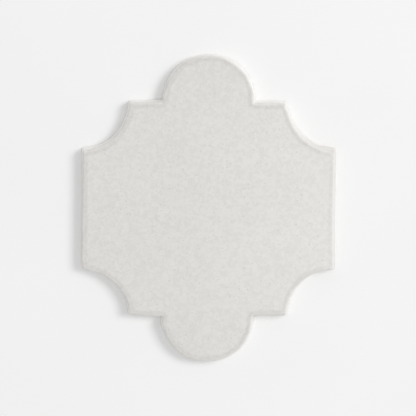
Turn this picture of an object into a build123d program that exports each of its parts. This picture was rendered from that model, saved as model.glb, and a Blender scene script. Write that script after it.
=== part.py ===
from build123d import *
from math import isclose, radians, tan
import os

# Ceramic wall and floor tile with a round lobe at each end.
# Sizes are in millimetres and angles in degrees.
# +Z points out of the glazed face and +Y towards one of the lobes.
# The origin is the middle of the bed, the flat underside that the tile lies on.

# Outline of the glazed face, before its edge is rounded
FACE_WIDTH = 276.6      # between the two straight sides
SHOULDER_SPAN = 235.0   # between the two shoulder lines, which carry the lobes
SCOOP_RADIUS = 52.0     # quarter circle taken out of each corner of the face
LOBE_RADIUS = 49.0      # half-round at each end, which fits between the scoops of two neighbours

# Section through an edge
THICKNESS = 15.0        # from the bed to the glazed face
WALL_DRAFT = 6.5        # lean of the walls, which lets the pressed clay leave its mould
ARRIS_ROUND = 2.0       # soft edge where the glaze runs over from the face to the wall
BED_EASE = 0.8          # flat rubbed on the edge of the bed before firing

# Corners in plan
TIP_ROUND = 1.2         # outer corners, where a scoop meets a side or a shoulder, at the face
ROOT_ROUND = 0.8        # inner corners, where a lobe meets the shoulders, at the bed
LOBE_NECK = 1.0         # straight stretch between a shoulder and the half-round, at the bed

half_width = FACE_WIDTH / 2
shoulder_line = SHOULDER_SPAN / 2
wall_spread = THICKNESS * tan(radians(WALL_DRAFT))
lobe_centre = shoulder_line + LOBE_NECK + wall_spread

os.makedirs("parts", exist_ok=True)


def mirrored_corners(sketch, across, along):
    """The corners that lie this far across and this far along from the middle of a sketch."""
    return sketch.vertices().filter_by(
        lambda corner: isclose(abs(corner.X), across, abs_tol=1e-6)
        and isclose(abs(corner.Y), along, abs_tol=1e-6)
    )


# The whole tile is pressed and fired as one piece. One flank and one lobe of the face are drawn
# and mirrored, the corners of that outline are rounded, and the walls spread from it to the bed.
with BuildPart() as tile:
    with BuildSketch(Plane.XY.offset(THICKNESS)) as face:
        with BuildLine():
            lobe = CenterArc((0, lobe_centre), LOBE_RADIUS, 0, 180)
            scoop = CenterArc((half_width, shoulder_line), SCOOP_RADIUS, 270, -90)
            shoulder = Polyline(scoop @ 1, (LOBE_RADIUS, shoulder_line), lobe @ 0)
            side = Line((half_width, 0), scoop @ 0)
            mirror([side, scoop, shoulder], about=Plane.YZ)
            mirror(about=Plane.XZ)
        make_face()
        roots = mirrored_corners(face, LOBE_RADIUS, shoulder_line)
        fillet(roots, min(ROOT_ROUND, LOBE_NECK) + wall_spread)
        side_tips = mirrored_corners(face, half_width, shoulder_line - SCOOP_RADIUS)
        fillet(side_tips, TIP_ROUND)
        shoulder_tips = mirrored_corners(face, half_width - SCOOP_RADIUS, shoulder_line)
        fillet(shoulder_tips, TIP_ROUND)
    extrude(amount=-THICKNESS, taper=-WALL_DRAFT)
    glazed_face = tile.faces().sort_by(Axis.Z)[-1]
    fillet(glazed_face.edges(), ARRIS_ROUND)
    bed_face = tile.faces().sort_by(Axis.Z)[0]
    chamfer(bed_face.edges(), BED_EASE)

tile.part.label = "tile"
export_step(tile.part, "parts/tile.step")
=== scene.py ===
"""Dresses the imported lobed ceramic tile: its hand-finished edges, matte glaze and bare bed."""

import logging
import math
from dataclasses import dataclass, field
from enum import Enum
from functools import cached_property
from typing import ClassVar, Iterable

import bpy
import numpy as np
from mathutils import Matrix, Vector, geometry, kdtree, noise


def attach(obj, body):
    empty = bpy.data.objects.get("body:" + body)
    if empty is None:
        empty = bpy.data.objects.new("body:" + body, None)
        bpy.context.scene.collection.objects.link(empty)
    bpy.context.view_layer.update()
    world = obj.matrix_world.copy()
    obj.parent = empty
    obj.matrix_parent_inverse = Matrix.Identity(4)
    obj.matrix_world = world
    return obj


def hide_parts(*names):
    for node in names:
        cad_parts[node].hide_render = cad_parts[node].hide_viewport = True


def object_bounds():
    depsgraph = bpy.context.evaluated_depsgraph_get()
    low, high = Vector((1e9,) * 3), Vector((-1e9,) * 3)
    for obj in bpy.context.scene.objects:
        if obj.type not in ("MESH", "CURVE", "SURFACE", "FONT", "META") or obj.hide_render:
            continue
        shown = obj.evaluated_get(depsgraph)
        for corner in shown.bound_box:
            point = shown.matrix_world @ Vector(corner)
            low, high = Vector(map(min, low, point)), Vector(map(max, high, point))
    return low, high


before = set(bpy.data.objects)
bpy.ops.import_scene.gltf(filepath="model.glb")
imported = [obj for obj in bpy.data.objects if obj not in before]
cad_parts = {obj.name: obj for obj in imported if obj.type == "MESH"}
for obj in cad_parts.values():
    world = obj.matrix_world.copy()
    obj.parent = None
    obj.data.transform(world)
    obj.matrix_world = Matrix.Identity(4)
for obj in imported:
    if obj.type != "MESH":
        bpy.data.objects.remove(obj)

CAD_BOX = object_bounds()
INSIDE_ONLY = 1  # the triangulation keeps what its edges go round
INSET = "inset"  # how far a point of the glaze lies inside the edge of the face, in metres

logger = logging.getLogger("lobed_tile")

Colour = tuple[float, float, float]
Span = tuple[float, float]
Socket = bpy.types.NodeSocket

WHOLE: Span = (0.0, 1.0)
MIDDLE = 0.5  # the middle of a value that runs from 0 to 1


# Shader building


class Blend(Enum):
    """The ways in which one colour is laid over another."""

    COVER = "MIX"
    DARKEN = "MULTIPLY"


class Graph:
    """Places and links the nodes of one node tree."""

    def __init__(self, tree: bpy.types.NodeTree) -> None:
        """Starts on a tree.

        Args:
            tree: the node tree of a material, a world or a group.
        """
        self.tree = tree

    def node(
        self, kind: str, inputs: dict[str, object] | None = None, **settings: object
    ) -> bpy.types.Node:
        """Adds a node.

        Args:
            kind: Blender's name for the node.
            inputs: a value or an output socket for each named input.
            settings: the node's own settings.

        Returns:
            The new node.
        """
        made = self.tree.nodes.new(kind)
        for name, value in settings.items():
            setattr(made, name, value)
        for name, value in (inputs or {}).items():
            self.feed(made.inputs[name], value)
        return made

    def feed(self, target: Socket, value: object) -> None:
        """Links an output to an input, or sets the input's own value.

        Args:
            target: the input socket.
            value: an output socket, a number, a vector or a colour.
        """
        if isinstance(value, bpy.types.NodeSocket):
            self.tree.links.new(value, target)
        elif target.type == "RGBA" and len(value) == 3:
            target.default_value = (*value, 1.0)
        else:
            target.default_value = value

    def math(self, operation: str, first: object, second: object = 0.0) -> Socket:
        """Works out one sum.

        Args:
            operation: Blender's name for the sum.
            first: a socket or a number.
            second: a socket or a number.

        Returns:
            The result's socket.
        """
        made = self.node("ShaderNodeMath", operation=operation)
        self.feed(made.inputs[0], first)
        self.feed(made.inputs[1], second)
        return made.outputs[0]

    def remap(self, value: Socket, span: tuple[object, object], result: Span = WHOLE) -> Socket:
        """Turns one range of a value into another, with soft ends.

        Args:
            value: the socket to read.
            span: the values, as sockets or numbers, that give the two ends of the result.
            result: those two ends.

        Returns:
            The result's socket.
        """
        made = self.node("ShaderNodeMapRange", interpolation_type="SMOOTHSTEP")
        for index, entry in enumerate((value, *span, *result)):
            self.feed(made.inputs[index], entry)
        return made.outputs[0]

    def mix(
        self, below: object, above: object, share: object, how: Blend = Blend.COVER
    ) -> Socket:
        """Lays one colour over another.

        Args:
            below: the colour below, as a socket or three numbers.
            above: the colour above, as a socket or three numbers.
            share: how much of the upper colour counts, as a socket or a number.
            how: the way it is laid.

        Returns:
            The mixed colour's socket.
        """
        made = self.node("ShaderNodeMix", data_type="RGBA", blend_type=how.value)
        self.feed(made.inputs[0], share)
        self.feed(made.inputs[6], below)
        self.feed(made.inputs[7], above)
        return made.outputs[2]

    def scale(self, colour: object, gain: Socket) -> Socket:
        """Makes a colour lighter or darker.

        Args:
            colour: the colour, as a socket or three numbers.
            gain: the value that each channel is multiplied by.

        Returns:
            The new colour's socket.
        """
        grey = self.node("ShaderNodeCombineColor", {"Red": gain, "Green": gain, "Blue": gain})
        return self.mix(colour, grey.outputs[0], 1.0, Blend.DARKEN)


@dataclass(frozen=True)
class Cloud:
    """Soft blotches: their size in metres, how crisp they are and how finely broken."""

    size: float
    crispness: float
    detail: float = 3.0
    group: ClassVar[str] = "cloud"


@dataclass(frozen=True)
class Grain:
    """A granular surface: the lengths of its coarse ripple and its fine grains, in metres."""

    ripple: float
    grain: float
    grain_share: float
    group: ClassVar[str] = "grain"


@dataclass(frozen=True)
class Speck:
    """Scattered dots: a cell's width and its dot's radius in metres, and the share with a dot."""

    spacing: float
    radius: float
    share: float
    group: ClassVar[str] = "speck"


@dataclass
class EffectGroups:
    """The effects that more than one finish uses, each a shader node group."""

    made: dict[str, bpy.types.NodeTree] = field(default_factory=dict)
    cloud_twist: float = 0.6
    cloud_reach: float = 0.32
    cloud_crisping: float = 0.26
    ripple_twist: float = 0.3
    grain_roughness: float = 0.6

    def start(
        self, name: str, inputs: dict[str, float], output: str
    ) -> tuple[Graph, bpy.types.Node, Socket]:
        """Starts a group that reads a place on the surface and gives one value.

        Args:
            name: the group's name.
            inputs: the name and usual value of each number that it takes.
            output: the name of the value that it gives.

        Returns:
            Its graph, its input node and the socket that takes the result.
        """
        tree = bpy.data.node_groups.new(name, "ShaderNodeTree")
        sockets = tree.interface
        sockets.new_socket(name="Place", in_out="INPUT", socket_type="NodeSocketVector")
        for key, usual in inputs.items():
            socket = sockets.new_socket(name=key, in_out="INPUT", socket_type="NodeSocketFloat")
            socket.default_value = usual
        sockets.new_socket(name=output, in_out="OUTPUT", socket_type="NodeSocketFloat")
        graph = Graph(tree)
        entry = graph.node("NodeGroupInput")
        leave = graph.node("NodeGroupOutput")
        self.made[name] = tree
        return graph, entry, leave.inputs[output]

    def build(self) -> None:
        """Makes every group."""
        self.make_cloud()
        self.make_grain()
        self.make_speck()

    def make_cloud(self) -> None:
        """Cloud: soft blotches of a given size, from 0 to 1."""
        usual = {"Size": 0.03, "Detail": 3.0, "Crispness": 0.3}
        graph, entry, result = self.start("cloud", usual, "Mask")
        blotch = graph.node(
            "ShaderNodeTexNoise",
            {
                "Vector": entry.outputs["Place"],
                "Scale": graph.math("DIVIDE", 1.0, entry.outputs["Size"]),
                "Detail": entry.outputs["Detail"],
                "Roughness": 0.5,
                "Distortion": self.cloud_twist,
            },
        )
        crisping = graph.math("MULTIPLY", entry.outputs["Crispness"], self.cloud_crisping)
        reach = graph.math("SUBTRACT", self.cloud_reach, crisping)
        low = graph.math("SUBTRACT", MIDDLE, reach)
        high = graph.math("ADD", MIDDLE, reach)
        graph.feed(result, graph.remap(blotch.outputs[0], (low, high)))

    def make_grain(self) -> None:
        """Grain: the height of a granular surface, a coarse ripple with fine grains on it."""
        usual = {"Ripple": 0.004, "Grain": 0.0009, "Grain Share": 0.35}
        graph, entry, result = self.start("grain", usual, "Height")
        ripple = graph.node(
            "ShaderNodeTexNoise",
            {
                "Vector": entry.outputs["Place"],
                "Scale": graph.math("DIVIDE", 1.0, entry.outputs["Ripple"]),
                "Detail": 2.0,
                "Roughness": 0.5,
                "Distortion": self.ripple_twist,
            },
        )
        grains = graph.node(
            "ShaderNodeTexNoise",
            {
                "Vector": entry.outputs["Place"],
                "Scale": graph.math("DIVIDE", 1.0, entry.outputs["Grain"]),
                "Detail": 2.0,
                "Roughness": self.grain_roughness,
            },
        )
        fine = graph.math("MULTIPLY", grains.outputs[0], entry.outputs["Grain Share"])
        graph.feed(result, graph.math("ADD", ripple.outputs[0], fine))

    def make_speck(self) -> None:
        """Speck: small scattered dots, 1 in a dot and 0 between them."""
        usual = {"Spacing": 0.006, "Radius": 0.0006, "Share": 0.4}
        graph, entry, result = self.start("speck", usual, "Mask")
        cells = graph.node(
            "ShaderNodeTexVoronoi",
            {
                "Vector": entry.outputs["Place"],
                "Scale": graph.math("DIVIDE", 1.0, entry.outputs["Spacing"]),
            },
        )
        reach = graph.math("DIVIDE", entry.outputs["Radius"], entry.outputs["Spacing"])
        dot = graph.remap(cells.outputs["Distance"], (reach, 0.0))
        pick = graph.node("ShaderNodeSeparateColor", {"Color": cells.outputs["Color"]})
        chosen = graph.math("LESS_THAN", pick.outputs[0], entry.outputs["Share"])
        graph.feed(result, graph.math("MULTIPLY", dot, chosen))

    def place(self, graph: Graph, place: Socket, effect: Cloud | Grain | Speck) -> Socket:
        """Puts a group into a material.

        Args:
            graph: the material's graph.
            place: the coordinates that it reads.
            effect: the effect and its values. Each value's name is that of an input.

        Returns:
            The group's result.
        """
        made = graph.node("ShaderNodeGroup", {"Place": place}, node_tree=self.made[effect.group])
        for name, value in vars(effect).items():
            graph.feed(made.inputs[name.replace("_", " ").title()], value)
        return made.outputs[0]


# Finishes


class Surface:
    """One material in the making: its graph, its shader and the place on the surface in metres."""

    def __init__(self, name: str) -> None:
        """Starts a material.

        Args:
            name: the material's name.
        """
        self.material = bpy.data.materials.new(name)
        self.material.use_nodes = True
        self.graph = Graph(self.material.node_tree)
        self.shader = self.material.node_tree.nodes["Principled BSDF"]
        self.place = self.graph.node("ShaderNodeTexCoord").outputs["Object"]

    def set(self, name: str, value: object) -> None:
        """Feeds one input of the shader.

        Args:
            name: the input's name.
            value: an output socket, a number or a colour.
        """
        self.graph.feed(self.shader.inputs[name], value)

    def raise_by(self, height: Socket, depth: float) -> None:
        """Gives the surface its fine relief.

        Args:
            height: the height, as a share of the depth.
            depth: the depth of the relief in metres.
        """
        inputs = {"Height": height, "Distance": depth, "Strength": 1.0}
        bump = self.graph.node("ShaderNodeBump", inputs)
        self.set("Normal", bump.outputs[0])


@dataclass(frozen=True)
class PaleClay:
    """Bare fired clay of the bed, chalky and finely porous."""

    name: str = "bare_clay"
    colour: Colour = (0.74, 0.70, 0.63)
    flashed: Colour = (0.70, 0.64, 0.56)
    firing: Cloud = Cloud(0.07, 0.2)
    flashed_share: float = 0.5
    pore: Colour = (0.48, 0.44, 0.39)
    pores: Speck = Speck(0.0042, 0.0005, 0.5)
    pore_share: float = 0.6
    roughness: Span = (0.84, 0.92)
    grain: Grain = Grain(0.0035, 0.0007, 0.6)
    relief: float = 0.00008

    def material(self, groups: EffectGroups) -> bpy.types.Material:
        """Makes the material.

        Args:
            groups: the shared effects.

        Returns:
            The material.
        """
        surface = Surface(self.name)
        graph, place = surface.graph, surface.place
        firing = groups.place(graph, place, self.firing)
        patches = graph.math("MULTIPLY", firing, self.flashed_share)
        body = graph.mix(self.colour, self.flashed, patches)
        pores = groups.place(graph, place, self.pores)
        hollow = graph.math("MULTIPLY", pores, self.pore_share)
        surface.set("Base Color", graph.mix(body, self.pore, hollow))
        surface.set("Roughness", graph.remap(firing, WHOLE, self.roughness))
        height = groups.place(graph, place, self.grain)
        surface.raise_by(graph.math("SUBTRACT", height, pores), self.relief)
        return surface.material


@dataclass(frozen=True)
class MatteGlaze:
    """Warm off-white matte glaze, finely mottled, paler over the arris and down the walls.

    Lengths are in metres. A range of insets, heights or places gives the two ends of the gain,
    depth or share named with it, in that order, and otherwise 0 and 1.

    The paleness over the arris and down the walls is partly thin glaze and partly painted fill
    light. It is strong away from the main lamp and weak on the lit +X side. The face is also
    painted paler towards +X, painted light from that lamp.
    """

    name: str = "mottled_glaze"
    colour: Colour = (0.720, 0.711, 0.681)
    cool: Colour = (0.709, 0.703, 0.676)
    drift: Cloud = Cloud(0.075, 0.1)
    drift_share: float = 0.7
    drift_gain: Span = (0.990, 1.010)
    blush: Colour = (0.734, 0.716, 0.686)
    patch: Cloud = Cloud(0.021, 0.4)
    patch_share: float = 0.4
    end_reach: Span = (0.09, 0.15)
    end_share: float = 0.35
    end_gain: float = 0.985
    mottle: Cloud = Cloud(0.0042, 0.2, 2.5)
    mottle_gain: Span = (0.962, 1.038)
    # painted light: the face is painted paler towards +X, the side that the main lamp lights
    side_reach: Span = (-0.06, 0.15)
    side_gain: Span = (0.985, 1.055)

    vein: Colour = (0.777, 0.767, 0.739)
    vein_scale: float = 230.0
    vein_width: float = 0.06
    vein_breaks: Cloud = Cloud(0.009, 0.7)
    vein_share: float = 0.6
    grit: Colour = (0.530, 0.520, 0.492)
    grits: Speck = Speck(0.0048, 0.0012, 0.40)
    grit_share: float = 0.70

    wander: Cloud = Cloud(0.011, 0.2)
    wander_reach: Span = (-0.0006, 0.0006)
    band_rise: Span = (0.0002, 0.0020)
    band_fall: Span = (0.0068, 0.0042)
    band_reach: Span = (0.115, 0.135)
    band_depth: Span = (0.080, 0.025)

    # painted fill light: the pale wall colours count in full away from +X and only a little on the
    # lit +X side
    run_reach: Span = (0.120, 0.070)
    run_share: Span = (0.15, 1.0)
    # thin glaze over the arris and down the walls, with painted fill light in it
    thin: Colour = (0.840, 0.832, 0.812)
    thin_rise: Span = (0.0008, -0.0012)
    buff: Colour = (0.800, 0.745, 0.705)
    crest_rise: Span = (-0.0008, 0.0004)
    crest_fall: Span = (0.0024, 0.0010)
    worn: Cloud = Cloud(0.030, 0.7)
    worn_share: float = 0.35
    # paler near the bed: thin glaze, and painted fill light on the walls away from +X
    foot: Colour = (0.930, 0.925, 0.912)
    foot_rise: Span = (0.0120, 0.0020)

    clay: Colour = (0.74, 0.70, 0.63)
    foot_edge: Cloud = Cloud(0.014, 0.3)
    foot_line: float = 0.0012
    foot_fade: Span = (0.75, 0.45)
    grain: Grain = Grain(0.0070, 0.0010, 0.15)
    grain_heights: Span = (0.4, 0.8)
    roughness: Span = (0.62, 0.72)
    clay_roughness: float = 0.18
    relief: float = 0.00012

    def vein_mask(self, graph: Graph, groups: EffectGroups, place: Socket) -> Socket:
        """Short pale veins that wander like worms.

        Args:
            graph: the material's graph.
            groups: the shared effects.
            place: the coordinates to read.

        Returns:
            A mask, 1 on a vein.
        """
        swirl = graph.node(
            "ShaderNodeTexNoise",
            {
                "Vector": place,
                "Scale": self.vein_scale,
                "Detail": 1.0,
                "Roughness": 0.4,
                "Distortion": 1.0,
            },
        )
        ridge = graph.math("SUBTRACT", swirl.outputs[0], MIDDLE)
        ridge = graph.math("ABSOLUTE", ridge)
        breaks = groups.place(graph, place, self.vein_breaks)
        return graph.math("MULTIPLY", graph.remap(ridge, (self.vein_width, 0.0)), breaks)

    def body_colour(self, graph: Graph, groups: EffectGroups, place: Socket) -> Socket:
        """The mottled colour of the thick glaze. Its +X side is painted paler, painted light from
        the main lamp on that side.

        Args:
            graph: the material's graph.
            groups: the shared effects.
            place: the coordinates to read.

        Returns:
            The colour's socket.
        """
        drift = groups.place(graph, place, self.drift)
        patch = groups.place(graph, place, self.patch)
        colour = graph.mix(self.colour, self.cool, graph.math("MULTIPLY", drift, self.drift_share))
        axes = graph.node("ShaderNodeSeparateXYZ", {"Vector": place})
        end = graph.remap(graph.math("ABSOLUTE", axes.outputs["Y"]), self.end_reach)
        patchy = graph.math("MULTIPLY", patch, self.patch_share)
        warm = graph.math("ADD", patchy, graph.math("MULTIPLY", end, self.end_share))
        colour = graph.mix(colour, self.blush, warm)
        mottle = groups.place(graph, place, self.mottle)
        shade = graph.remap(mottle, WHOLE, self.mottle_gain)
        # painted light: paler towards +X, where the main lamp falls
        side = graph.remap(axes.outputs["X"], self.side_reach, self.side_gain)
        ends = graph.remap(end, WHOLE, (1.0, self.end_gain))
        broad = graph.remap(drift, WHOLE, self.drift_gain)
        for gain in (side, ends, broad):
            shade = graph.math("MULTIPLY", shade, gain)
        colour = graph.scale(colour, shade)
        veins = graph.math("MULTIPLY", self.vein_mask(graph, groups, place), self.vein_share)
        colour = graph.mix(colour, self.vein, veins)
        grits = groups.place(graph, place, self.grits)
        return graph.mix(colour, self.grit, graph.math("MULTIPLY", grits, self.grit_share))

    def material(self, groups: EffectGroups) -> bpy.types.Material:
        """Makes the material.

        Args:
            groups: the shared effects.

        Returns:
            The material.
        """
        surface = Surface(self.name)
        graph, place = surface.graph, surface.place
        inset = graph.node("ShaderNodeAttribute", attribute_name=INSET).outputs["Fac"]
        wander = groups.place(graph, place, self.wander)
        inset = graph.math("ADD", inset, graph.remap(wander, WHOLE, self.wander_reach))
        colour = self.body_colour(graph, groups, place)

        axes = graph.node("ShaderNodeSeparateXYZ", {"Vector": place})
        across, height = axes.outputs["X"], axes.outputs["Z"]
        rise, fall = graph.remap(inset, self.band_rise), graph.remap(inset, self.band_fall)
        depth = graph.remap(across, self.band_reach, self.band_depth)
        band = graph.math("MULTIPLY", graph.math("MULTIPLY", rise, fall), depth)
        colour = graph.mix(colour, (0.0, 0.0, 0.0), band)
        # painted fill light: the arris and walls are painted paler away from the lit +X side
        shaded_side = graph.remap(across, self.run_reach, self.run_share)
        # thin glaze and painted fill light on the arris and walls
        spread = graph.math("MULTIPLY", graph.remap(inset, self.thin_rise), shaded_side)
        colour = graph.mix(colour, self.thin, spread)
        rise, fall = graph.remap(inset, self.crest_rise), graph.remap(inset, self.crest_fall)
        crest = graph.math("MULTIPLY", rise, fall)
        worn = graph.math("MULTIPLY", groups.place(graph, place, self.worn), self.worn_share)
        colour = graph.mix(colour, self.buff, graph.math("MULTIPLY", crest, worn))
        # paler near the bed: thin glaze, with painted fill light from the floor on the walls away
        # from +X
        foot = graph.math("MULTIPLY", graph.remap(height, self.foot_rise), shaded_side)
        colour = graph.mix(colour, self.foot, foot)

        line = groups.place(graph, place, self.foot_edge)
        above = graph.math("SUBTRACT", height, graph.math("MULTIPLY", line, self.foot_line))
        fade = tuple(self.foot_line * share for share in self.foot_fade)
        bare = graph.remap(above, fade)
        surface.set("Base Color", graph.mix(colour, self.clay, bare))

        grain = groups.place(graph, place, self.grain)
        dull = graph.remap(grain, self.grain_heights, self.roughness)
        chalky = graph.math("MULTIPLY", bare, self.clay_roughness)
        surface.set("Roughness", graph.math("ADD", dull, chalky))
        surface.raise_by(grain, self.relief)
        return surface.material


@dataclass(frozen=True)
class PaleFloor:
    """Matte white paper on the floor of the set."""

    name: str = "pale_floor"
    colour: Colour = (0.920, 0.920, 0.920)
    shade: Colour = (0.905, 0.905, 0.905)
    tone: Cloud = Cloud(0.16, 0.0)
    roughness: float = 0.95
    grain: Grain = Grain(0.006, 0.0008, 0.5)
    relief: float = 0.00001

    def material(self, groups: EffectGroups) -> bpy.types.Material:
        """Makes the material.

        Args:
            groups: the shared effects.

        Returns:
            The material.
        """
        surface = Surface(self.name)
        graph, place = surface.graph, surface.place
        tone = groups.place(graph, place, self.tone)
        surface.set("Base Color", graph.mix(self.colour, self.shade, tone))
        surface.set("Roughness", self.roughness)
        surface.set("Specular IOR Level", 0.0)
        surface.raise_by(groups.place(graph, place, self.grain), self.relief)
        return surface.material


# The tile


@dataclass(frozen=True)
class Ring:
    """One closed line round the tile: its points and the way that the edge faces at each."""

    points: np.ndarray
    facing: np.ndarray

    @cached_property
    def tree(self) -> kdtree.KDTree:
        """The search tree of the points."""
        tree = kdtree.KDTree(len(self.points))
        for index, (x, y) in enumerate(self.points):
            tree.insert((x, y, 0.0), index)
        tree.balance()
        return tree

    def gap(self, x: float, y: float) -> float:
        """The distance from a place to the nearest point of the ring."""
        return self.tree.find((x, y, 0.0))[2]

    def inside(self, spots: np.ndarray) -> np.ndarray:
        """Finds the spots that the ring goes round.

        Args:
            spots: the places to try, one row of two numbers each.

        Returns:
            True or false for each spot.
        """
        found = np.zeros(len(spots), bool)
        for (x0, y0), (x1, y1) in zip(self.points, np.roll(self.points, -1, axis=0)):
            if y0 != y1:
                level = (spots[:, 1] >= min(y0, y1)) & (spots[:, 1] < max(y0, y1))
                found ^= level & (spots[:, 0] < x0 + (spots[:, 1] - y0) * (x1 - x0) / (y1 - y0))
        return found


@dataclass(frozen=True)
class Outline:
    """The tile in plan. Inset 0 is the sharp edge of the face, and a negative one lies outside."""

    face_width: float = 0.2766
    shoulder_span: float = 0.2350
    scoop_radius: float = 0.0520
    lobe_radius: float = 0.0490
    lobe_neck: float = 0.0010
    tip_round: float = 0.0012
    least_tip: float = 0.0003
    tip_opening: float = 0.45
    tip_opens_at: float = 0.0018
    root_round: float = 0.0004
    wall_spread: float = 0.0150 * math.tan(math.radians(6.5))
    spacing: float = 0.0012
    corner_steps: int = 7

    def tip_at(self, inset: float) -> float:
        """The radius of an outer corner: it tightens up to the arris and opens on the face."""
        opened = self.tip_opening * max(inset - self.tip_opens_at, 0.0)
        return max(self.tip_round - inset, self.least_tip + opened)

    def arc(
        self, centre: tuple[float, float], radius: float, start: float, end: float, steps: int
    ) -> list[tuple]:
        """Points along an arc, without its last one. A negative radius is a hollow arc.

        Args:
            centre: the arc's centre.
            radius: its radius.
            start: the way it faces where it starts, in radians from +X.
            end: the way it faces where it ends.
            steps: how many steps it takes.

        Returns:
            The place and the facing of each point, as four numbers.
        """
        x, y = centre
        rows = []
        for turn in np.linspace(start, end, steps + 1)[:-1]:
            across, along = math.cos(turn), math.sin(turn)
            rows.append((x + radius * across, y + radius * along, across, along))
        return rows

    def line(
        self, start: tuple[float, float], end: tuple[float, float], turn: float, steps: int
    ) -> list[tuple]:
        """Points along a straight, without its last one.

        Args:
            start: where it starts.
            end: where it ends.
            turn: the way it faces, in radians from +X.
            steps: how many steps it takes.

        Returns:
            The place and the facing of each point, as four numbers.
        """
        across, along = (np.linspace(a, b, steps + 1)[:-1] for a, b in zip(start, end))
        return [(x, y, math.cos(turn), math.sin(turn)) for x, y in zip(across, along)]

    def quarter(self, inset: float) -> np.ndarray:
        """One quarter of the outline, from the middle of a side to the end of a lobe.

        Args:
            inset: how far inside the sharp edge of the face it runs.

        Returns:
            The place and the facing of each point, one row of four numbers each.
        """
        half, shoulder, up = self.face_width / 2, self.shoulder_span / 2, math.pi / 2
        tip = self.tip_at(inset)
        reach = self.scoop_radius + inset + tip
        slant = math.asin((inset + tip) / reach)
        away = reach * math.cos(slant)
        root = self.root_round + self.wall_spread
        lobe_centre = shoulder + self.lobe_neck + self.wall_spread
        side_x, shoulder_y, neck_x = half - inset, shoulder - inset, self.lobe_radius - inset
        side_end, shoulder_end = shoulder - away, half - away

        def steps(length: float) -> int:
            """How many steps a stretch of this length takes."""
            return max(1, round(length / self.spacing))

        scoop, bend = self.scoop_radius, self.corner_steps
        root_x, root_y = self.lobe_radius + root, shoulder + root
        flat = half - scoop - self.lobe_radius
        rows = self.line((side_x, 0.0), (side_x, side_end), 0.0, steps(shoulder - scoop))
        rows += self.arc((side_x - tip, side_end), tip, 0.0, up - slant, bend)
        rows += self.arc((half, shoulder), -scoop - inset, up - slant, slant, steps(scoop * up))
        rows += self.arc((shoulder_end, shoulder_y - tip), tip, slant, up, bend)
        rows += self.line((shoulder_end, shoulder_y), (root_x, shoulder_y), up, steps(flat))
        rows += self.arc((root_x, root_y), -root - inset, up, 0.0, bend)
        rows += self.line((neck_x, root_y), (neck_x, lobe_centre), 0.0, 1)
        rows += self.arc((0.0, lobe_centre), neck_x, 0.0, up, steps(self.lobe_radius * up))
        rows.append((0.0, lobe_centre + neck_x, 0.0, 1.0))
        return np.array(rows)

    def ring(self, inset: float) -> Ring:
        """The whole outline at an inset. Every ring has the same number of points.

        Args:
            inset: how far inside the sharp edge of the face it runs.

        Returns:
            The ring, counterclockwise from the middle of the +X side.
        """
        quarter = self.quarter(inset)
        forth, back = quarter[:-1], quarter[:0:-1]
        rows = np.concatenate([forth, back * (-1, 1, -1, 1), forth * -1, back * (1, -1, 1, -1)])
        return Ring(rows[:, :2], rows[:, 2:])


class Skin(Enum):
    """What covers a stretch of the tile, as the number of its material slot."""

    GLAZE = 0
    CLAY = 1


@dataclass(frozen=True)
class Station:
    """One step up the section of the edge."""

    inset: float
    height: float
    waver: float
    skin: Skin
    crease: bool = False


@dataclass(frozen=True)
class EdgeSection:
    """The section through an edge: bed, wall, arris and the rim of the face."""

    thickness: float = 0.0150
    wall_draft: float = math.radians(6.5)
    arris_round: float = 0.0020
    bed_ease: float = 0.0008
    wall_steps: int = 6
    arris_steps: int = 9
    rim_insets: tuple[float, ...] = (0.0023, 0.0029, 0.0037, 0.0047, 0.0059, 0.0072)
    bed_waver: float = 0.35
    foot_waver: float = 0.40
    rim_waver: float = 0.9
    rim_calming: float = 0.2

    @property
    def crest(self) -> float:
        """The inset at which the arris reaches the height of the face."""
        return self.arris_round * (1 - math.sin(self.wall_draft)) / math.cos(self.wall_draft)

    def stations(self) -> list[Station]:
        """The steps from the edge of the bed to the rim of the face.

        Returns:
            The stations, the lowest first. Each one's skin covers the stretch above it.
        """
        draft, lean = self.wall_draft, math.tan(self.wall_draft)
        spread = self.thickness * lean
        foot = self.bed_ease * math.cos(draft)
        foot_inset = self.bed_ease * math.sin(draft) - spread
        centre = self.thickness - self.arris_round
        top = centre + self.arris_round * math.sin(draft)
        steps = [
            Station(self.bed_ease - spread, 0.0, self.bed_waver, Skin.CLAY, crease=True),
            Station(foot_inset, foot, self.foot_waver, Skin.GLAZE, crease=True),
        ]
        for z in np.linspace(foot, top, self.wall_steps + 1)[1:-1]:
            waver = self.foot_waver + (1 - self.foot_waver) * z / top
            steps.append(Station(-(self.thickness - z) * lean, float(z), waver, Skin.GLAZE))
        for turn in np.linspace(draft, math.pi / 2, self.arris_steps):
            inset = self.crest - self.arris_round * math.cos(turn)
            height = centre + self.arris_round * math.sin(turn)
            steps.append(Station(inset, height, 1.0, Skin.GLAZE))
        for index, inset in enumerate(self.rim_insets):
            waver = max(0.0, self.rim_waver - self.rim_calming * index)
            steps.append(Station(inset, self.thickness, waver, Skin.GLAZE))
        return steps


@dataclass(frozen=True)
class Dent:
    """A place where the soft clay was pushed out of true by hand.

    Foot and top are the shares of the push that the bed and the face take.
    """

    x: float
    y: float
    reach: float
    push_x: float
    push_y: float
    foot: float = 0.3
    top: float = 1.0

    def moved(self, places: np.ndarray, rise: np.ndarray) -> np.ndarray:
        """How far the clay moves at each place.

        Args:
            places: the places in plan, one row of two numbers each.
            rise: the height of each place as a share of the thickness.

        Returns:
            The way that each place moves in plan.
        """
        gap = np.hypot(places[:, 0] - self.x, places[:, 1] - self.y) / self.reach
        share = np.exp(-gap * gap) * (self.foot + (self.top - self.foot) * rise)
        return share[:, None] * (self.push_x, self.push_y)


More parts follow.
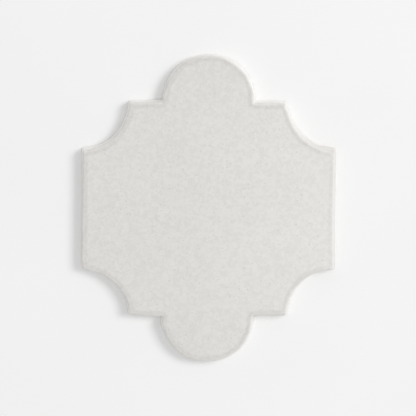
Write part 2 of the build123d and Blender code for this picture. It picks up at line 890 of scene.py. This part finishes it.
@dataclass(frozen=True)
class Wander:
    """Noise over the tile in plan: a long wave and a finer one, kept between 0 and 1.

    Each wave is a level cut through noise, at its own place.
    """

    length: float
    fineness: float
    long_gain: float
    fine_gain: float
    long_cut: float
    fine_cut: float

    def at(self, x: float, y: float) -> float:
        """The noise at a place.

        Args:
            x: the place across the tile.
            y: the place along the tile.

        Returns:
            A share from 0 to 1.
        """
        long_wave = noise.noise(Vector((x, y, self.long_cut)) / self.length)
        fine_wave = noise.noise(Vector((x, y, self.fine_cut)) / (self.length * self.fineness))
        wave = MIDDLE + self.long_gain * long_wave + self.fine_gain * fine_wave
        return min(1.0, max(0.0, wave))


@dataclass
class LobedTile:
    """The whole tile: one pressed, glazed and fired piece."""

    outline: Outline = field(default_factory=Outline)
    section: EdgeSection = field(default_factory=EdgeSection)
    glaze: MatteGlaze = field(default_factory=MatteGlaze)
    clay: PaleClay = field(default_factory=PaleClay)
    waver_depth: float = 0.00035
    waver_noise: Wander = Wander(0.020, 0.35, 0.55, 0.25, 0.31, 0.77)
    rim_rise: float = 0.00012
    rim_reach: float = 0.0050
    swell: float = 0.00012
    swell_noise: Wander = Wander(0.045, 0.4, 0.5, 0.2, 1.7, 4.1)
    face_pitch: float = 0.0027
    bed_pitch: float = 0.0090
    lattice_margin: float = 0.6
    weld: float = 1e-7
    dents: tuple[Dent, ...] = (
        Dent(0.1390, -0.0250, 0.0550, -0.0007, 0.0, 0.8),
        Dent(0.1390, 0.0090, 0.0110, -0.0004, 0.0, 0.8),
        Dent(0.1360, 0.0650, 0.0060, -0.0003, -0.0006, 0.0),
        Dent(0.1310, 0.0670, 0.0090, 0.0, 0.0014, 1.0, 0.0),
        Dent(0.1000, 0.0800, 0.0250, 0.0007, 0.0006, 0.9),
        Dent(0.0860, 0.1160, 0.0065, -0.0027, -0.0005, 0.9),
        Dent(0.0670, 0.1175, 0.0140, 0.0, 0.0006, 0.9),
        Dent(0.0350, 0.1550, 0.0300, 0.0006, 0.0003, 0.9),
        Dent(0.0060, 0.1660, 0.0300, 0.0002, 0.0011, 0.0),
        Dent(0.0, 0.1690, 0.0350, 0.0, -0.0008, 1.0, 0.0),
        Dent(-0.0500, 0.1420, 0.0250, 0.0009, 0.0, 1.0, 0.0),
        Dent(-0.1500, 0.0, 0.0750, 0.0011, 0.0, 1.0, 0.0),
        Dent(-0.0350, 0.1550, 0.0300, -0.0006, 0.0, 0.9),
        Dent(-0.0510, 0.1210, 0.0080, -0.0007, 0.0008, 0.9),
        Dent(-0.0600, 0.1175, 0.0120, 0.0, 0.0007, 0.9),
        Dent(-0.0900, 0.0980, 0.0200, -0.0011, 0.0005, 0.9),
        Dent(-0.1370, 0.0640, 0.0100, 0.0004, -0.0008, 0.0),
        Dent(-0.1370, 0.0400, 0.0250, 0.0005, 0.0, 0.6),
        Dent(-0.1370, -0.0450, 0.0180, -0.0006, 0.0, 0.0),
        Dent(-0.1370, -0.0645, 0.0060, 0.0014, 0.0002, 0.2),
        Dent(-0.1240, -0.0680, 0.0110, -0.0002, -0.0008, 0.9),
        Dent(-0.1080, -0.0780, 0.0260, -0.0012, -0.0015, 0.9),
        Dent(-0.0840, -0.1130, 0.0100, -0.0005, 0.0014, 0.9),
        Dent(-0.0600, -0.1175, 0.0150, 0.0, -0.0009, 0.9),
        Dent(-0.0480, -0.1270, 0.0080, -0.0018, 0.0, 0.9),
        Dent(-0.0350, -0.1550, 0.0300, -0.0005, -0.0003, 0.9),
        Dent(0.0, -0.1690, 0.0220, 0.0, 0.0009, 0.9),
        Dent(0.0440, -0.1380, 0.0140, -0.0008, 0.0, 0.9),
        Dent(0.0690, -0.1175, 0.0200, 0.0, 0.0013, 0.9),
    )

    def waver(self, ring: Ring) -> np.ndarray:
        """How far the edge wanders inwards at each point of a ring.

        Args:
            ring: the ring at the edge of the face.

        Returns:
            A distance in metres for each point, never below 0.
        """
        waves = [self.waver_noise.at(x, y) for x, y in ring.points]
        return np.array([self.waver_depth * wave for wave in waves])

    def pushed(self, places: list[tuple[float, float, float]]) -> list[tuple[float, float, float]]:
        """Pushes the clay out of true, the least at the bed and never past the box of the solid.

        Args:
            places: the points of the tile.

        Returns:
            The points after every dent.
        """
        points = np.array(places)
        rise = points[:, 2] / self.section.thickness
        for dent in self.dents:
            points[:, :2] += dent.moved(points[:, :2], rise)
        low, high = (np.array(corner)[:2] for corner in CAD_BOX)
        points[:, :2] = points[:, :2].clip(low, high)
        return points.tolist()

    def drop(self, x: float, y: float, inset: float) -> float:
        """How far the face lies below the crest of the arris.

        Args:
            x: the place across the tile.
            y: the place along the tile.
            inset: the distance inside the sharp edge of the face.

        Returns:
            The drop in metres.
        """
        share = min(1.0, max(0.0, (inset - self.section.crest) / self.rim_reach))
        share = share * share * (3 - 2 * share)
        return share * (self.rim_rise + self.swell * self.swell_noise.at(x, y))

    def lattice(self, ring: Ring, pitch: float) -> np.ndarray:
        """A lattice of points inside a ring, a little clear of it.

        Args:
            ring: the ring to fill.
            pitch: the distance between the points.

        Returns:
            The points.
        """
        low, high = ring.points.min(axis=0), ring.points.max(axis=0)
        rows = np.arange(low[1], high[1], pitch * math.sqrt(3) / 2)
        spots = np.array([
            (x + pitch / 2 * (index % 2), y)
            for index, y in enumerate(rows)
            for x in np.arange(low[0], high[0], pitch)
        ])
        spots = spots[ring.inside(spots)]
        return spots[[ring.gap(*spot) > pitch * self.lattice_margin for spot in spots]]

    def fill(self, ring: Ring, pitch: float) -> tuple[np.ndarray, list[tuple[int, ...]]]:
        """Fills a ring with triangles.

        Args:
            ring: the ring to fill.
            pitch: the distance between the points inside it.

        Returns:
            The points inside, and the triangles, whose numbers count the ring's points first.
        """
        inner = self.lattice(ring, pitch)
        spots = [Vector(spot) for spot in np.concatenate([ring.points, inner])]
        count = len(ring.points)
        edges = [(index, (index + 1) % count) for index in range(count)]
        net = geometry.delaunay_2d_cdt(spots, edges, [], INSIDE_ONLY, self.weld)
        faces, origins = net[2], net[3]
        source = [origin[0] for origin in origins]
        return inner, [tuple(source[corner] for corner in face) for face in faces]

    def mesh(self) -> bpy.types.Mesh:
        """Makes the tile's mesh: the rings of its edge, then its face and its bed.

        Returns:
            The mesh, with the inset of each point as an attribute.
        """
        stations = self.section.stations()
        waver = self.waver(self.outline.ring(0.0))
        count = len(waver)
        rings, places, insets, faces, skins = [], [], [], [], []
        for station in stations:
            base = self.outline.ring(station.inset)
            ring = Ring(base.points - base.facing * (waver * station.waver)[:, None], base.facing)
            rings.append(ring)
            for x, y in ring.points:
                drop = self.drop(x, y, station.inset) if station.inset > self.section.crest else 0.0
                places.append((x, y, station.height - drop))
                insets.append(station.inset)
        for level, station in enumerate(stations[:-1]):
            for index in range(count):
                after = (index + 1) % count
                low, high = level * count, (level + 1) * count
                faces.append((low + index, low + after, high + after, high + index))
                skins.append(station.skin.value)

        rim, last = rings[-1], (len(rings) - 1) * count
        inner, triangles = self.fill(rim, self.face_pitch)
        start = len(places)
        for x, y in inner:
            inset = stations[-1].inset + rim.gap(x, y)
            places.append((x, y, self.section.thickness - self.drop(x, y, inset)))
            insets.append(inset)
        for triangle in triangles:
            faces.append(tuple(last + c if c < count else start + c - count for c in triangle))
            skins.append(Skin.GLAZE.value)

        inner, triangles = self.fill(rings[0], self.bed_pitch)
        start = len(places)
        places += [(x, y, 0.0) for x, y in inner]
        insets += [0.0] * len(inner)
        for triangle in triangles:
            faces.append(tuple(c if c < count else start + c - count for c in reversed(triangle)))
            skins.append(Skin.CLAY.value)

        mesh = bpy.data.meshes.new("glazed_tile")
        mesh.from_pydata(self.pushed(places), [], faces)
        mesh.polygons.foreach_set("material_index", skins)
        mesh.polygons.foreach_set("use_smooth", [True] * len(faces))
        mesh.attributes.new(INSET, "FLOAT", "POINT").data.foreach_set("value", insets)
        creased = {level for level, station in enumerate(stations) if station.crease}
        for edge in mesh.edges:
            first, second = (corner // count for corner in edge.vertices)
            edge.use_edge_sharp = first == second and first in creased
        mesh.validate()
        mesh.update()
        return mesh

    def build(self, groups: EffectGroups) -> bpy.types.Object:
        """Builds the tile and hands it to the frame in place of its solid.

        Args:
            groups: the shared effects.

        Returns:
            The tile.
        """
        mesh = self.mesh()
        mesh.materials.append(self.glaze.material(groups))
        mesh.materials.append(self.clay.material(groups))
        piece = bpy.data.objects.new("glazed_tile", mesh)
        bpy.context.scene.collection.objects.link(piece)
        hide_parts("tile")
        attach(piece, "root")
        logger.info("%s: %d points, %d faces", piece.name, len(mesh.vertices), len(mesh.polygons))
        return piece


# The set


@dataclass(frozen=True)
class Floor:
    """The wide pale floor that the tile lies on."""

    half_side: float = 6.0
    gap: float = 0.00003
    finish: PaleFloor = field(default_factory=PaleFloor)

    def build(self, groups: EffectGroups) -> bpy.types.Object:
        """Builds the floor.

        Args:
            groups: the shared effects.

        Returns:
            The floor.
        """
        side = self.half_side
        mesh = bpy.data.meshes.new("floor")
        corners = [(-side, -side), (side, -side), (side, side), (-side, side)]
        mesh.from_pydata([(x, y, -self.gap) for x, y in corners], [], [(0, 1, 2, 3)])
        mesh.materials.append(self.finish.material(groups))
        floor = bpy.data.objects.new("floor", mesh)
        bpy.context.scene.collection.objects.link(floor)
        logger.info("floor: %.1f m square", 2 * side)
        return floor


@dataclass(frozen=True)
class SoftBox:
    """The square soft lamp that faces the tile and that no camera sees."""

    name: str = "main_softbox"
    azimuth: float = math.radians(22)
    elevation: float = math.radians(47)
    distance: float = 7.0
    side: float = 2.8
    power: float = 194.0

    def build(self) -> bpy.types.Object:
        """Hangs the lamp.

        Returns:
            The lamp.
        """
        light = bpy.data.lights.new(self.name, "AREA")
        light.shape = "SQUARE"
        light.size = self.side
        light.energy = self.power
        lamp = bpy.data.objects.new(self.name, light)
        flat, rise = math.cos(self.elevation), math.sin(self.elevation)
        across, along = math.cos(self.azimuth), math.sin(self.azimuth)
        way = Vector((flat * across, flat * along, rise))
        level = Vector((-along, across, 0.0))
        turn = Matrix((level, way.cross(level), way)).transposed().to_4x4()
        lamp.matrix_world = Matrix.Translation(way * self.distance) @ turn
        lamp.visible_camera = False
        bpy.context.scene.collection.objects.link(lamp)
        logger.info("%s: %.0f W at %.1f m", self.name, self.power, self.distance)
        return lamp


@dataclass(frozen=True)
class RoomLight:
    """The even light of a white room, and the white that a camera sees past the floor."""

    strength: float = 0.700
    backdrop: float = 0.95

    def build(self) -> bpy.types.World:
        """Lights the room.

        Returns:
            The world.
        """
        world = bpy.data.worlds.new("white_room")
        bpy.context.scene.world = world
        world.use_nodes = True
        graph = Graph(world.node_tree)
        fill = world.node_tree.nodes["Background"]
        fill.inputs["Color"].default_value = (1.0, 1.0, 1.0, 1.0)
        fill.inputs["Strength"].default_value = self.strength
        white = {"Color": (1.0, 1.0, 1.0), "Strength": self.backdrop}
        seen = graph.node("ShaderNodeBackground", white)
        path = graph.node("ShaderNodeLightPath")
        direct = graph.math("MAXIMUM", path.outputs["Is Camera Ray"], path.outputs["Is Glossy Ray"])
        direct = graph.math("MAXIMUM", direct, path.outputs["Is Transmission Ray"])
        choice = graph.node("ShaderNodeMixShader", {"Fac": direct})
        graph.feed(choice.inputs[1], fill.outputs[0])
        graph.feed(choice.inputs[2], seen.outputs[0])
        graph.feed(world.node_tree.nodes["World Output"].inputs["Surface"], choice.outputs[0])
        logger.info("room light: %.2f", self.strength)
        return world


@dataclass(frozen=True)
class Camera:
    """A long lens high above the tile, which leans a little towards the upper lobe."""

    lean_right: float = math.radians(0.5)
    lean_up: float = math.radians(8.0)
    roll: float = math.radians(0.25)
    distance: float = 6.0
    frame_width: float = 0.4572
    aim: tuple[float, float, float] = (-0.0003, 0.0013, 0.0075)
    sensor: float = 36.0
    far_clip: float = 50.0

    def build(self) -> bpy.types.Object:
        """Sets the camera up and makes it the scene's.

        Returns:
            The camera.
        """
        data = bpy.data.cameras.new("camera")
        data.sensor_width = self.sensor
        data.lens = self.sensor * self.distance / self.frame_width
        data.clip_end = self.far_clip
        camera = bpy.data.objects.new("camera", data)
        back = Vector((math.tan(self.lean_right), math.tan(self.lean_up), 1.0)).normalized()
        upright = (Vector((0.0, 1.0, 0.0)) - back * back.y).normalized()
        across = upright.cross(back)
        turn = Matrix((across, upright, back)).transposed().to_4x4()
        place = Matrix.Translation(Vector(self.aim) + back * self.distance)
        camera.matrix_world = place @ turn @ Matrix.Rotation(self.roll, 4, "Z")
        bpy.context.scene.collection.objects.link(camera)
        bpy.context.scene.camera = camera
        logger.info("camera: %.0f mm lens at %.1f m", data.lens, self.distance)
        return camera


def main() -> None:
    """Builds the tile and the set round it."""
    logging.basicConfig(level=logging.INFO, format="%(name)s: %(message)s")
    bpy.context.scene.view_settings.view_transform = "Standard"
    groups = EffectGroups()
    groups.build()
    LobedTile().build(groups)
    Floor().build(groups)
    SoftBox().build()
    RoomLight().build()
    Camera().build()


if __name__ == "__main__":
    main()
